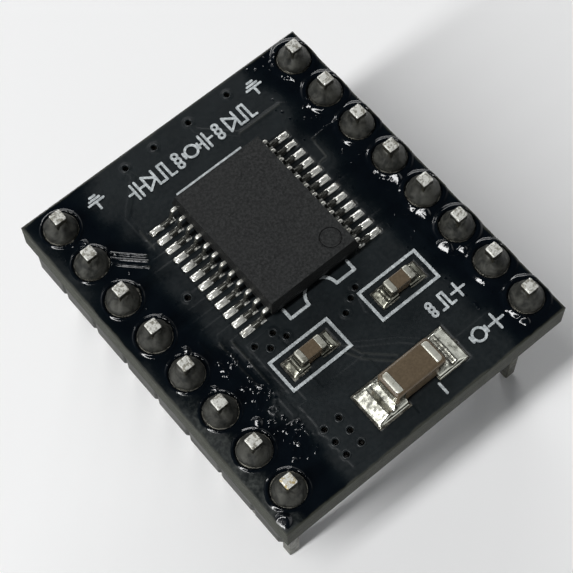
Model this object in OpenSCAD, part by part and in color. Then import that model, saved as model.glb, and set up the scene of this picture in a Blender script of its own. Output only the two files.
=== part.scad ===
// Stepper driver module: a two-layer board with one 24-lead driver package and three
// chip capacitors, standing on two 8-way pin headers soldered from above.
// Millimetres, +Z up. Z = 0 is the plane of the lower pin ends, X = Y = 0 is the
// middle of the board outline, +Y runs along the pin rows.

/* [Board] */
// Width of the board, across the pin rows
board_w = 17.8; // [17.5:0.1:20]
// Length of the board, along the pin rows
board_l = 20.8; // [20.6:0.1:24]
// Thickness of the glass-fibre core
core_t = 1.6; // [1:0.1:2]
// Thickness of each copper layer
copper_t = 0.035; // [0.035:0.035:0.07]
// Thickness of solder mask over copper
mask_t = 0.03; // [0.025:0.005:0.04]
// How far the mask over copper stands above the mask between tracks
relief = 0.02; // [0.01:0.005:0.02]
// Thickness of the printed white ink
ink_t = 0.02; // [0.01:0.005:0.03]
// Gap between a pad and the edge of its mask opening
mask_gap = 0.05; // [0.02:0.01:0.1]
// How far the pin grid sits to the right of the board's middle
grid_x = 0.22; // [0:0.02:0.4]
// How far the pin grid sits behind the board's middle
grid_y = 0.15; // [0:0.05:0.2]

/* [Pin headers] */
// Pins in each row
row_pins = 8; // [8:1:8]
// Distance between neighbouring pins
pitch = 2.54; // [2.54:0.01:2.54]
// Distance between the two rows
row_gap = 15.24; // [15.24:0.01:15.24]
// Width of the square pin
pin_w = 0.64; // [0.5:0.02:0.7]
// Length of a pin from end to end
pin_l = 11.6; // [11:0.1:12]
// Length of pin below the plastic strip
pin_free = 5.94; // [5:0.02:6.5]
// Height of the bevel on a pin's lower end
pin_bevel = 0.14; // [0.1:0.02:0.4]
// Width left at the very end of a bevelled pin
pin_nose = 0.46; // [0.2:0.02:0.5]
// Size of the small bevel on a pin's sheared upper end
pin_crop = 0.04; // [0.02:0.01:0.1]
// Height of the plastic strip
strip_h = 2.54; // [2:0.01:2.6]
// Width of the plastic strip
strip_w = 2.6; // [2.4:0.02:2.6]
// Depth of the V groove between neighbouring segments
groove = 0.16; // [0.1:0.02:0.5]
// Chamfer on the upright corners at the strip ends
strip_corner = 0.3; // [0.1:0.02:0.5]
// How far the strip reaches in front of the pin grid's middle
strip_front = 9.85; // [9.6:0.05:10.1]
// How far the strip reaches behind the pin grid's middle
strip_back = 10.05; // [9.6:0.05:10.1]

/* [Pin joints] */
// Diameter of the round copper pad under a pin joint
pad_d = 1.8; // [1.5:0.05:1.9]
// Drilled diameter of a pin hole
drill_d = 1.12; // [1:0.02:1.2]
// Thickness of copper plated inside a hole
plate_t = 0.05; // [0.025:0.005:0.06]
// Height of the solder dome above the pad
dome_h = 0.85; // [0.6:0.05:1.2]
// Diameter of the dome where it meets the pin
dome_top_d = 1; // [0.94:0.02:1.1]

/* [Driver package] */
// Body width, across the leads
chip_w = 5.6; // [5.2:0.1:6]
// Body length, along the leads
chip_l = 7.8; // [7.6:0.1:8]
// Body thickness
chip_t = 1.4; // [1.2:0.05:1.6]
// Gap between the body and the board
chip_gap = 0.1; // [0.05:0.01:0.2]
// How much the top and bottom faces are smaller, per side
chip_draft = 0.14; // [0.05:0.01:0.2]
// Place of the body's middle, from the pin grid's middle, across the rows
chip_x = 0.1; // [0:0.05:0.2]
// Place of the body's middle, from the pin grid's middle, along the rows
chip_y = 2.15; // [2:0.05:2.3]
// Leads on each side
lead_n = 12; // [12:1:12]
// Distance between neighbouring leads
lead_pitch = 0.65; // [0.65:0.01:0.65]
// Distance from lead tip to lead tip
lead_span = 7.6; // [7.4:0.1:7.8]
// Width of a lead
lead_w = 0.22; // [0.2:0.01:0.26]
// Thickness of a lead
lead_t = 0.15; // [0.12:0.01:0.18]
// Length of the flat foot
foot_l = 0.6; // [0.5:0.05:0.7]
// Length of lead held inside the body
lead_hold = 0.7; // [0.5:0.05:0.9]
// Diameter of the round mark beside the first lead
mark_d = 1.1; // [0.8:0.05:1.3]
// Depth of the groove that outlines that mark
mark_deep = 0.06; // [0.02:0.01:0.08]
// Width of that groove
mark_w = 0.07; // [0.04:0.01:0.1]
// Width of the driver pads
land_w = 0.36; // [0.3:0.01:0.4]
// Outer ends of the driver pads, from the package middle
land_out = 4.45; // [4.3:0.05:4.6]
// Inner ends of the driver pads, from the package middle
land_in = 3; // [2.9:0.05:3.2]
// Width of the die paddle
paddle_w = 2.6; // [2:0.1:3]
// Length of the die paddle
paddle_l = 4.4; // [3:0.1:5]
// Width of the silicon die
die_w = 1.9; // [1.5:0.1:2.4]
// Length of the silicon die
die_l = 3.2; // [2.5:0.1:4]
// Thickness of the silicon die
die_t = 0.25; // [0.2:0.01:0.3]
// Thickness of a bond wire
wire_t = 0.04; // [0.03:0.01:0.05]

/* [Capacitors] */
// Length of a small capacitor
small_l = 1.6; // [1.6:0.1:2]
// Width of a small capacitor
small_w = 0.8; // [0.8:0.05:1]
// Height of a small capacitor
small_h = 0.8; // [0.7:0.05:0.9]
// Length of a small capacitor's metal end
small_end = 0.35; // [0.25:0.05:0.45]
// Length of the large capacitor
large_l = 3.2; // [3:0.1:3.4]
// Width of the large capacitor
large_w = 1.6; // [1.5:0.05:1.7]
// Height of the large capacitor
large_h = 1.3; // [1.1:0.05:1.6]
// Length of the large capacitor's metal end
large_end = 0.55; // [0.4:0.05:0.7]
// Thickness of the metal that wraps a capacitor end
end_t = 0.04; // [0.02:0.01:0.06]

/* [Hidden] */
$fn = 48;
// levels, from the lower pin ends upwards
z_strip = pin_free;
z_board = z_strip + strip_h;
z_core = z_board + mask_t + copper_t;
z_copper = z_core + core_t;
z_pad = z_copper + copper_t;
z_top = z_pad + mask_t;
z_flat = z_top - relief;
skin_t = copper_t + mask_t;
joint_seat = 0.03; // solder left under a lead or a capacitor end
// pin rows
row_x = row_gap / 2;
hole_d = drill_d - 2 * plate_t;
via_d = 0.34;
via_drill = via_d + 2 * plate_t;
via_pad = 0.65;
clear = 0.25; // copper kept away from other copper
// printed lines and copper tracks
ink_w = 0.16;
bar_w = 0.11; // the fine line behind the driver
thin_w = 0.13;
track_w = 0.28;
// capacitor places, measured from the pin grid's middle
small_x = [3.25, -2.45];
small_y = -4.35;
box_w = 3.62;
box_l = 1.84;
small_pad_in = 0.45;
small_pad_out = 1.42;
small_pad_w = 1.1;
large_x = 0.5;
large_y = -8.35;
large_pad_in = 0.95;
large_pad_out = 2.87;
large_pad_w = 2.14;

function pin_y(k) = ((row_pins - 1) / 2 - k) * pitch; // k = 0 is the rear pin
function lead_y(k) = ((lead_n - 1) / 2 - k) * lead_pitch; // from the package middle
function land_y(k) = chip_y + lead_y(k); // from the pin grid's middle
land_left = chip_x - land_out;
land_right = chip_x + land_out;

// plated holes between the two copper layers, from the pin grid's middle
via_rear = [for (x = [-3.05, -1.2, 1.05, 3.6]) [x, 9.5]];
via_left = [[-5.1, 1.84]];
via_under = [[-3.1, -2.3], [-2.7, -2.85], [-4.25, -2.3], [-3.7, -2.85]];
via_small = [[1.55, -3.05], [1, -3.35], [0.3, -3.8]];
via_front = [for (i = [0:1], j = [0:2]) [-4.42 + i * 0.93, -9.33 + j * 0.81]];
via_all = concat(via_rear, via_left, via_under, via_small, via_front);

// --- small shared shapes -------------------------------------------------------------

module on_grid() translate([grid_x, grid_y, 0]) children();

module at_chip() on_grid() translate([chip_x, chip_y, 0]) children();

// a straight stroke from a to b with round ends
module stroke(a, b, w) {
    d = b - a;
    translate(a) rotate(atan2(d[1], d[0])) translate([0, -w / 2]) square([norm(d), w]);
    translate(a) circle(d = w);
    translate(b) circle(d = w);
}

module path(points, w) {
    for (i = [0:len(points) - 2]) stroke(points[i], points[i + 1], w);
}

module ring(d, w) difference() {
    circle(d = d + w);
    circle(d = d - w);
}

module board_outline() square([board_w, board_l], center = true);

module at_pins() on_grid() {
    for (side = [-1, 1], k = [0:row_pins - 1]) translate([side * row_x, pin_y(k)]) children();
}

module at_vias() on_grid() {
    for (p = via_all) translate(p) children();
}

module drills() {
    at_pins() circle(d = drill_d);
    at_vias() circle(d = via_drill);
}

// --- copper, mask and ink in plan ----------------------------------------------------

module driver_lands(extra) at_chip() {
    for (side = [-1, 1], k = [0:lead_n - 1]) {
        translate([side * (land_in + land_out) / 2, lead_y(k)])
            square([land_out - land_in + 2 * extra, land_w + 2 * extra], center = true);
    }
}

module cap_lands(inner, outer, wide, extra) {
    for (side = [-1, 1]) translate([side * (inner + outer) / 2, 0])
        square([outer - inner + 2 * extra, wide + 2 * extra], center = true);
}

module all_cap_lands(extra) on_grid() {
    for (x = small_x) translate([x, small_y])
        cap_lands(small_pad_in, small_pad_out, small_pad_w, extra);
    translate([large_x, large_y]) cap_lands(large_pad_in, large_pad_out, large_pad_w, extra);
}

// tracks from the left pin row to the left leads
module left_tracks() {
    x = -row_x;
    path([[x, pin_y(0)], [x, 7.5], [-5.21, land_y(1)], [land_left, land_y(1)]], track_w);
    path([[x, pin_y(1)], [-7.25, pin_y(1)], [-5.34, land_y(2)], [land_left, land_y(2)]], track_w);
    path([[x, land_y(3)], [land_left, land_y(3)]], track_w);
    path([[x, land_y(7)], [land_left, land_y(7)]], track_w);
    path([[x, pin_y(4)], [-6.9, -0.55], [-6.9, 0.1], [-6.46, land_y(8)],
        [land_left, land_y(8)]], track_w);
    path([[x, pin_y(5)], [-6.78, pin_y(5)], [-6.2, -3.23], [-6.2, -0.54],
        [-5.77, land_y(9)], [land_left, land_y(9)]], track_w);
    path([[x, pin_y(6)], [-5.46, -4.19], [-5.46, -1.04], [-5.18, land_y(10)],
        [land_left, land_y(10)]], track_w);
    path([[x, pin_y(7)], [-4.94, -6.21], [-4.94, land_y(11)], [land_left, land_y(11)]], track_w);
    path([via_left[0], [land_left, land_y(6)]], track_w);
    path([[land_left, land_y(0)], [-4.69, land_y(0)], [-4.69, 7.2], [-3.05, 8.84],
        via_rear[0]], track_w);
}

// tracks from the right leads to the right pin row
module right_tracks() {
    x = row_x;
    path([via_rear[2], [1.05, 8.91], [2.66, 7.3], [5.3, 7.3], [6.25, pin_y(1)],
        [x, pin_y(1)]], track_w);
    path([[land_right, land_y(4)], [5.1, land_y(4)], [5.35, 3.4], [5.35, 4.3],
        [5.7, 4.65], [6.78, 4.65], [x, pin_y(2)]], track_w);
    path([[land_right, land_y(6)], [5.3, land_y(6)], [5.87, pin_y(3)], [x, pin_y(3)]], track_w);
    path([[land_right, land_y(8)], [5.5, land_y(8)], [7.31, pin_y(4)], [x, pin_y(4)]], track_w);
    path([[land_right, land_y(10)], [6.3, land_y(10)], [6.6, -1.06], [6.6, -2.79],
        [x, pin_y(5)]], track_w);
    path([[land_right, land_y(11)], [5.6, land_y(11)], [5.9, -1.7], [5.9, -4.63],
        [x, pin_y(6)]], track_w);
}

// tracks that join the capacitors to their supply pins and to ground
module cap_tracks() {
    path([[small_x[0] + 1, small_y], [4.9, small_y], [5.9, -5.35]], track_w);
    path([[small_x[0] - 1, small_y], [1.2, small_y], via_small[0]], track_w);
    path([via_small[1], via_small[0]], track_w);
    path([via_small[2], via_small[1]], track_w);
    path([[small_x[1] + 1, small_y], [-0.5, -5.3], [1.4, -6.6], [2.4, -7.6]], track_w);
    path([[large_x + 2.4, large_y], [6.1, large_y], [6.6, pin_y(7)], [row_x, pin_y(7)]], track_w);
}

// ground area around the front and middle groups of vias
module ground_area() {
    translate([-4.6, -10]) square([4.2, 4]);
    translate([-4.55, -5.2]) square([1.5, 3.2]);
    translate([-4.1, -6.2]) square([1, 2]);
}

module copper_top_plan() {
    at_pins() circle(d = pad_d);
    at_vias() circle(d = via_pad);
    driver_lands(0);
    all_cap_lands(0);
    on_grid() left_tracks();
    on_grid() right_tracks();
    on_grid() cap_tracks();
    on_grid() ground_area();
}

module mask_openings_top() {
    at_pins() circle(d = pad_d + 2 * mask_gap);
    driver_lands(mask_gap);
    all_cap_lands(mask_gap);
    at_vias() circle(d = via_d);
}

// a ground plane with a clear ring around each via that carries something else
module copper_bottom_plan() {
    plane_w = row_gap - pad_d - 2 * clear;
    at_pins() circle(d = pad_d);
    difference() {
        on_grid() square([plane_w, board_l - 2], center = true);
        on_grid() for (p = concat(via_rear, via_left)) translate(p) circle(d = via_pad + 2 * clear);
    }
    on_grid() for (p = concat(via_rear, via_left)) translate(p) circle(d = via_pad);
    on_grid() stroke([-row_x, pin_y(2)], [-plane_w / 2, pin_y(2)], 2 * track_w);
    on_grid() stroke([row_x, pin_y(0)], [plane_w / 2, pin_y(0)], 2 * track_w);
}

module mask_openings_bottom() {
    at_pins() circle(d = pad_d + 2 * mask_gap);
    at_vias() circle(d = via_d);
}

// plain circuit signs that stand where a board carries printing
module sign_ground(s) {
    path([[0, s / 2], [0, 0]], thin_w);
    for (i = [0:2]) stroke([-s * (3 - i) / 6, -i * s / 5], [s * (3 - i) / 6, -i * s / 5], thin_w);
}

module sign_plus(s) {
    stroke([-s / 2, 0], [s / 2, 0], thin_w);
    stroke([0, -s / 2], [0, s / 2], thin_w);
}

module sign_pulse(s) {
    path([[-s / 2, -s / 2], [-s / 6, -s / 2], [-s / 6, s / 2], [s / 6, s / 2],
        [s / 6, -s / 2], [s / 2, -s / 2]], thin_w);
}

module sign_plates(s) {
    for (i = [-1, 1]) stroke([i * s / 7, -s / 2], [i * s / 7, s / 2], thin_w);
    for (i = [-1, 1]) stroke([i * s / 7, 0], [i * s / 2, 0], thin_w);
}

module sign_coil(s) {
    for (i = [-1:1]) translate([0, i * s / 3]) ring(s / 3, thin_w);
}

module sign_arrow(s) {
    path([[-s / 3, s / 2], [s / 3, 0], [-s / 3, -s / 2], [-s / 3, s / 2]], thin_w);
    stroke([s / 3, -s / 2], [s / 3, s / 2], thin_w);
}

module sign_motor(s) {
    ring(s * 0.75, thin_w);
    for (i = [-1, 1]) stroke([i * s / 2, -s / 6], [i * s / 2, s / 6], thin_w);
}

// the row of signs behind the driver
module sign_row() {
    step = 0.88;
    size = 0.92;
    translate([3.65, 8.1]) {
        sign_pulse(size);
        translate([-step, 0]) sign_arrow(size);
        translate([-2 * step, 0]) sign_coil(size);
        translate([-3 * step, 0]) sign_plates(size);
        translate([-4 * step, 0]) sign_motor(size);
        translate([-5 * step, 0]) sign_coil(size);
        translate([-6 * step, 0]) sign_pulse(size);
        translate([-7 * step, 0]) sign_arrow(size);
        translate([-8 * step, 0]) sign_plates(size);
    }
}

// frame printed around one small capacitor
module print_box() difference() {
    square([box_w + ink_w, box_l + ink_w], center = true);
    square([box_w - ink_w, box_l - ink_w], center = true);
}

// marks printed at both ends of the driver
module print_driver() {
    end_x = 2.05;
    rear_y = 4.48;
    front_y = -4.45;
    notch_r = 0.9;
    stroke([-end_x, rear_y], [end_x, rear_y], bar_w);
    for (side = [-1, 1]) {
        path([[side * end_x, front_y + 0.6], [side * end_x, front_y], [side * notch_r, front_y]], ink_w);
    }
    translate([0, front_y]) intersection() {
        ring(2 * notch_r, ink_w);
        translate([-2 * notch_r, 0]) square([4 * notch_r, 2 * notch_r]);
    }
}

module print_plan() on_grid() {
    translate([chip_x, chip_y]) print_driver();
    for (x = small_x) translate([x, small_y]) print_box();
    stroke([1.3, -9.5], [1.3, -10.1], thin_w);
    sign_row();
    translate([4.95, 8.95]) rotate(180) sign_ground(0.9);
    translate([-5.35, 8.95]) rotate(180) sign_ground(0.9);
    translate([5.3, -6.4]) sign_plus(0.8);
    translate([4.45, -6.4]) sign_pulse(0.8);
    translate([3.6, -6.4]) sign_coil(0.8);
    translate([5.6, -8.85]) sign_plus(0.9);
    translate([4.5, -8.85]) sign_motor(0.95);
}

// --- board --------------------------------------------------------------------------

module board_core() color([0.33, 0.33, 0.24]) translate([0, 0, z_core]) linear_extrude(core_t)
    difference() {
        board_outline();
        drills();
    }

module copper_top() color([0.80, 0.48, 0.30]) translate([0, 0, z_copper]) linear_extrude(copper_t)
    difference() {
        copper_top_plan();
        drills();
    }

module copper_bottom() color([0.80, 0.48, 0.30]) translate([0, 0, z_core - copper_t])
    linear_extrude(copper_t) difference() {
        copper_bottom_plan();
        drills();
    }

// the mask fills the gaps between tracks and stands proud where it covers them
module mask_top() color([0.04, 0.05, 0.07]) {
    translate([0, 0, z_copper]) linear_extrude(z_flat - z_copper) difference() {
        board_outline();
        copper_top_plan();
        mask_openings_top();
    }
    mask_over_copper(z_pad);
}

module mask_over_copper(low) translate([0, 0, low]) linear_extrude(z_top - low) difference() {
    copper_top_plan();
    mask_openings_top();
}

module mask_bottom() color([0.04, 0.05, 0.07]) {
    translate([0, 0, z_core - copper_t]) linear_extrude(copper_t) difference() {
        board_outline();
        copper_bottom_plan();
        mask_openings_bottom();
    }
    translate([0, 0, z_board]) linear_extrude(mask_t) difference() {
        board_outline();
        mask_openings_bottom();
    }
}

// the ink follows the mask, so it dips between tracks
module print_top() color([0.9, 0.92, 0.93]) difference() {
    translate([0, 0, z_flat]) linear_extrude(relief + ink_t) print_plan();
    mask_over_copper(z_flat);
}

// a copper tube through the board, from pad face to pad face
module barrel(outer, inner) translate([0, 0, z_core - copper_t])
    linear_extrude(core_t + 2 * copper_t) difference() {
        circle(d = outer);
        circle(d = inner);
    }

module pin_barrels() color([0.80, 0.48, 0.30]) at_pins() barrel(drill_d, hole_d);

module via_barrels() color([0.80, 0.48, 0.30]) at_vias() barrel(via_drill, via_d);

// --- headers and their joints -------------------------------------------------------

// outline of one moulded strip, with a V groove between segments
module strip_outline() difference() {
    translate([-strip_w / 2, -strip_front]) square([strip_w, strip_front + strip_back]);
    for (side = [-1, 1], k = [1:row_pins - 1]) {
        translate([side * strip_w / 2, pin_y(k) + pitch / 2]) rotate(45)
            square(groove * sqrt(2), center = true);
    }
    for (side = [-1, 1], end = [-strip_front, strip_back]) {
        translate([side * strip_w / 2, end]) rotate(45)
            square(strip_corner * sqrt(2), center = true);
    }
}

module header_strip(side) color([0.06, 0.06, 0.06]) on_grid()
    translate([side * row_x, 0, z_strip]) linear_extrude(strip_h) difference() {
        strip_outline();
        for (k = [0:row_pins - 1]) translate([0, pin_y(k)]) square(pin_w, center = true);
    }

// side view of a pin: straight, bevelled below and sheared above
module pin_side() {
    w = pin_w / 2;
    n = pin_nose / 2;
    c = w - pin_crop;
    polygon([[-n, 0], [n, 0], [w, pin_bevel], [w, pin_l - pin_crop], [c, pin_l],
        [-c, pin_l], [-w, pin_l - pin_crop], [-w, pin_bevel]]);
}

module pin_body() intersection() {
    rotate([90, 0, 0]) linear_extrude(pin_w, center = true) pin_side();
    rotate([90, 0, 90]) linear_extrude(pin_w, center = true) pin_side();
}

module header_pin(side, k) color([0.78, 0.76, 0.70]) on_grid()
    translate([side * row_x, pin_y(k), 0]) pin_body();

// solder drawn into the hole and heaped into a dome on the pad
module pin_solder(side, k) color([0.55, 0.55, 0.54]) on_grid()
    translate([side * row_x, pin_y(k), 0]) difference() {
        union() {
            translate([0, 0, z_pad]) rotate_extrude() polygon(dome_side());
            translate([0, 0, z_core - copper_t]) cylinder(d = hole_d, h = z_pad - z_core + copper_t);
        }
        translate([0, 0, z_top - copper_t]) cube([pin_w, pin_w, 2 * pin_l], center = true);
    }

// half outline of a dome: upright at its foot and leaning in towards the pin
function dome_side() = let (steps = 6, foot = pad_d / 2, top = dome_top_d / 2) concat(
    [[0, 0]],
    [for (i = [0:steps]) [foot - (foot - top) * pow(i / steps, 1.8), dome_h * i / steps]],
    [[0, dome_h]]);

// --- driver package -----------------------------------------------------------------

z_body = z_top + chip_gap;
z_lead = z_body + chip_t / 2 - lead_t / 2;
z_foot = z_pad + joint_seat;
bend_x = lead_span / 2 - foot_l;

// side view of a lead: held flat, bent down outside the body, flat again on the pad
module lead_side() {
    drop = z_lead - z_foot;
    shoulder = chip_w / 2 + 0.16;
    polygon([
        [chip_w / 2 - lead_hold, drop],
        [shoulder, drop],
        [bend_x - lead_t / 2, 0],
        [lead_span / 2, 0],
        [lead_span / 2, lead_t],
        [bend_x + lead_t / 2, lead_t],
        [shoulder + lead_t, drop + lead_t],
        [chip_w / 2 - lead_hold, drop + lead_t]
    ]);
}

module lead_bar(side, k) translate([0, lead_y(k), z_foot]) mirror([side < 0 ? 1 : 0, 0, 0])
    rotate([90, 0, 0]) linear_extrude(lead_w, center = true) lead_side();

module driver_leads(side) color([0.75, 0.75, 0.74]) at_chip() {
    for (k = [0:lead_n - 1]) lead_bar(side, k);
}

z_paddle = z_lead - lead_t;
z_die = z_paddle + lead_t;
module paddle_block() translate([-paddle_w / 2, -paddle_l / 2, z_paddle])
    cube([paddle_w, paddle_l, lead_t]);

module die_block() translate([-die_w / 2, -die_l / 2, z_die]) cube([die_w, die_l, die_t]);

module driver_paddle() color([0.72, 0.45, 0.30]) at_chip() paddle_block();

module driver_die() color([0.35, 0.36, 0.40]) at_chip() die_block();

// one bond wire: up from the die, across, and down to the lead it serves
module wire_bar(side, k) {
    from = [side * (die_w / 2 - 0.12), lead_y(k) * (die_l - 0.3) / (lead_n * lead_pitch)];
    to = [side * (chip_w / 2 - lead_hold + 0.12), lead_y(k)];
    reach = norm(to - from);
    rise = 0.12;
    low = z_lead + lead_t - z_die - die_t;
    translate([from[0], from[1], z_die + die_t])
        rotate([0, 0, atan2(to[1] - from[1], to[0] - from[0])])
        rotate([90, 0, 0]) linear_extrude(wire_t, center = true)
        polygon([[0, 0], [wire_t, 0], [2 * wire_t, rise - wire_t], [reach - 2 * wire_t, rise - wire_t],
            [reach - wire_t, low], [reach, low], [reach - wire_t, rise], [wire_t, rise]]);
}

module all_wires() {
    for (side = [-1, 1], k = [0:lead_n - 1]) wire_bar(side, k);
}

module driver_wires() color([0.85, 0.66, 0.30]) at_chip() all_wires();

// moulded block: six-sided in both side views, so every side has draft
module chip_side(wide) {
    polygon([[-wide / 2 + chip_draft, 0], [wide / 2 - chip_draft, 0], [wide / 2, chip_t / 2],
        [wide / 2 - chip_draft, chip_t], [-wide / 2 + chip_draft, chip_t], [-wide / 2, chip_t / 2]]);
}

module driver_body() color([0.13, 0.13, 0.13]) at_chip() difference() {
    translate([0, 0, z_body]) intersection() {
        rotate([90, 0, 0]) linear_extrude(chip_l, center = true) chip_side(chip_w);
        rotate([90, 0, 90]) linear_extrude(chip_w, center = true) chip_side(chip_l);
    }
    for (side = [-1, 1], k = [0:lead_n - 1]) lead_bar(side, k);
    paddle_block();
    die_block();
    all_wires();
    translate([1.8, -2.9, z_body + chip_t - mark_deep]) linear_extrude(chip_t) ring(mark_d, mark_w);
}

// solder under and around each foot, sloping off towards the end of the pad
module driver_solder(side) color([0.72, 0.73, 0.73]) at_chip() difference() {
    for (k = [0:lead_n - 1]) translate([0, lead_y(k), z_pad]) mirror([side < 0 ? 1 : 0, 0, 0])
        rotate([90, 0, 0]) linear_extrude(land_w, center = true)
        polygon([[land_in, 0], [land_out, 0], [land_out - 0.06, 0.05], [lead_span / 2 + 0.2, 0.11],
            [lead_span / 2, 0.16], [bend_x + lead_t, 0.12], [land_in + 0.05, 0.1]]);
    for (k = [0:lead_n - 1]) lead_bar(side, k);
}

// --- capacitors ---------------------------------------------------------------------

z_cap = z_pad + joint_seat;

module cap_block(l, w, h) translate([-l / 2, -w / 2, z_cap]) cube([l, w, h]);

// the ceramic is narrower where the metal ends wrap it
module cap_ceramic(l, w, h, end) {
    translate([-(l / 2 - end_t), -(w / 2 - end_t), z_cap + end_t])
        cube([l - 2 * end_t, w - 2 * end_t, h - 2 * end_t]);
    translate([-(l / 2 - end), -w / 2, z_cap]) cube([l - 2 * end, w, h]);
}

module cap_ends(l, w, h, end) difference() {
    cap_block(l, w, h);
    cap_ceramic(l, w, h, end);
}

// a thin bed over the whole pad with a slope up the outer face of each metal end
module cap_solder(l, w, h, inner, outer, wide) difference() {
    for (side = [0, 1]) mirror([side, 0, 0]) {
        translate([0, 0, z_pad]) rotate([90, 0, 0]) linear_extrude(wide - 0.1, center = true)
            polygon([[inner, 0], [outer - 0.04, 0], [outer - 0.12, 0.06], [l / 2 + 0.3, 0.09],
                [l / 2 + 0.04, 0.13], [inner, 0.13]]);
        translate([0, 0, z_pad]) rotate([90, 0, 0]) linear_extrude(w - 0.1, center = true)
            polygon([[inner, 0], [l / 2 + 0.32, 0.08], [l / 2 + 0.1, h / 3], [l / 2, h * 0.6], [inner, 0.1]]);
    }
    cap_block(l, w, h);
}

module at_small(i) on_grid() translate([small_x[i], small_y, 0]) children();

module at_large() on_grid() translate([large_x, large_y, 0]) children();

module small_cap_body(i) color([0.42, 0.36, 0.30]) at_small(i)
    cap_ceramic(small_l, small_w, small_h, small_end);

module small_cap_ends(i) color([0.72, 0.71, 0.68]) at_small(i)
    cap_ends(small_l, small_w, small_h, small_end);

module small_cap_solder(i) color([0.62, 0.61, 0.58]) at_small(i)
    cap_solder(small_l, small_w, small_h, small_pad_in, small_pad_out, small_pad_w);

module large_cap_body() color([0.42, 0.36, 0.30]) at_large()
    cap_ceramic(large_l, large_w, large_h, large_end);

module large_cap_ends() color([0.80, 0.79, 0.74]) at_large()
    cap_ends(large_l, large_w, large_h, large_end);

module large_cap_solder() color([0.70, 0.69, 0.62]) at_large()
    cap_solder(large_l, large_w, large_h, large_pad_in, large_pad_out, large_pad_w);

// --- nodes --------------------------------------------------------------------------

SIDES = [["left", -1], ["right", 1]];

board_core();
copper_top();
copper_bottom();
mask_top();
mask_bottom();
print_top();
pin_barrels();
via_barrels();
header_strip(-1);  // header_strip_left
header_strip(1);  // header_strip_right
for (s = SIDES, k = [1:row_pins]) {
    header_pin(s[1], k - 1);
    pin_solder(s[1], k - 1);
}
driver_body();
driver_die();
driver_paddle();
driver_wires();
driver_leads(-1);  // driver_leads_left
driver_leads(1);  // driver_leads_right
driver_solder(-1);  // driver_solder_left
driver_solder(1);  // driver_solder_right
for (i = [0, 1]) {
    small_cap_body(i);
    small_cap_ends(i);
    small_cap_solder(i);
}
large_cap_body();
large_cap_ends();
large_cap_solder();
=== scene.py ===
"""Stepper driver module: looks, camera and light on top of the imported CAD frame.

Lengths are in millimetres and become metres where a mesh or an object is made. The frame's
origin is the middle of the board outline, in the plane of the lower pin ends.
"""
import math

import bmesh
import bpy
import numpy as np
from mathutils import Matrix, Vector, noise
from mathutils.bvhtree import BVHTree


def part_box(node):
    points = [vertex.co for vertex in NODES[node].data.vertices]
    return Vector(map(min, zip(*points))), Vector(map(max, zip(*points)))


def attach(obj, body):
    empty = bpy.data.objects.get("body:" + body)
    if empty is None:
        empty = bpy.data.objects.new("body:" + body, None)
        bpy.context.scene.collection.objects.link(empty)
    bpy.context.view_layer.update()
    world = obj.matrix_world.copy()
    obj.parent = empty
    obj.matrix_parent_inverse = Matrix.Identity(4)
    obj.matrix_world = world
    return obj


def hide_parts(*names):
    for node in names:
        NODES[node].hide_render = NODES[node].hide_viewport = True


MM = 0.001
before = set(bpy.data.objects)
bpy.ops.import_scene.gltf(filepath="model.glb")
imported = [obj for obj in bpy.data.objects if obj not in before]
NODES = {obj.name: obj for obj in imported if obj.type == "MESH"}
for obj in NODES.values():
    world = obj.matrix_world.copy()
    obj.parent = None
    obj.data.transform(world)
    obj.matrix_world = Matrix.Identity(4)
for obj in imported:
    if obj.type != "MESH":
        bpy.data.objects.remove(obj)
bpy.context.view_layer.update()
SIDES = (("left", -1), ("right", 1))


def box_mm(node):
    """A CAD node's lowest and highest corners in millimetres."""
    low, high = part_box(node)
    return np.array(low) / MM, np.array(high) / MM


def middle(node):
    low, high = box_mm(node)
    return (low + high) / 2


# levels and places, all read from the frame; the driver's distances start at its own middle
ROW_PINS = 8
MASK_TOP = box_mm("mask_top")[1][2]
PAD_TOP = box_mm("copper_top")[1][2]
PIN_TOP = box_mm("pin_left_1")[1][2]
STRIP_TOP = box_mm("header_strip_left")[1][2]
GRID = (middle("pin_left_1") + middle("pin_right_8")) / 2
PIN_PLACES = {f"{s}_{k}": middle(f"pin_{s}_{k}")[:2] for s, _ in SIDES for k in range(1, ROW_PINS + 1)}
ROW_OUT = PIN_PLACES["right_1"][0] - GRID[0]

CHIP = middle("driver_body")
BODY_SIDE = box_mm("driver_body")[1][0] - CHIP[0]
LEAD_LOW, LEAD_HIGH = box_mm("driver_leads_right")
LEAD_TIP = LEAD_HIGH[0] - CHIP[0]
PAD_START, PAD_END = (corner[0] - CHIP[0] for corner in box_mm("driver_solder_right"))

# --- small node-graph helpers --------------------------------------------------------


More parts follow.
